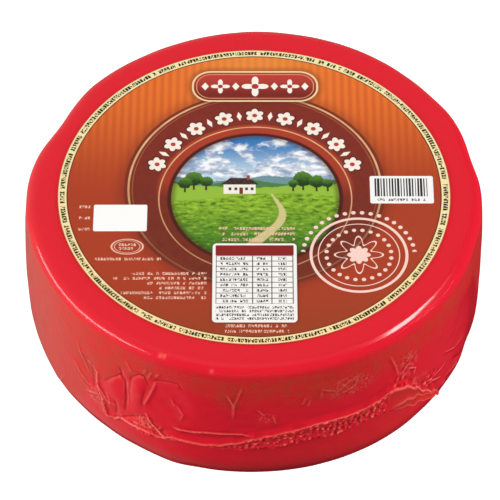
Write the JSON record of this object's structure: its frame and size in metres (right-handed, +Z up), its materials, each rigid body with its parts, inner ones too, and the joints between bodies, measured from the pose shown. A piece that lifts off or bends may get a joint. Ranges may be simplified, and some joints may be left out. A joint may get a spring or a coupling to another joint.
{
  "type": "gouda cheese wheel",
  "caption": "Low round gouda wheel sealed in glossy red shrink film, with a round printed label over its flat top.",
  "frame": {"origin": "centre of the flat round base on the wheel's own axis, where it rests", "axes": "+Z up along the wheel's axis, -Y towards the bag's sealed hem and the near edge of the label's picture, +X to the right of the label's picture"},
  "size_m": [0.2072, 0.2116, 0.0929],
  "materials": {
    "red_film": "glossy tight shrink film with hazy patches and fine creases",
    "printed_label": "printed label under the film, satin gloss"
  },
  "bodies": {
    "root": {"wrapped_wheel": "red_film", "label": "printed_label"}
  },
  "joints": []
}
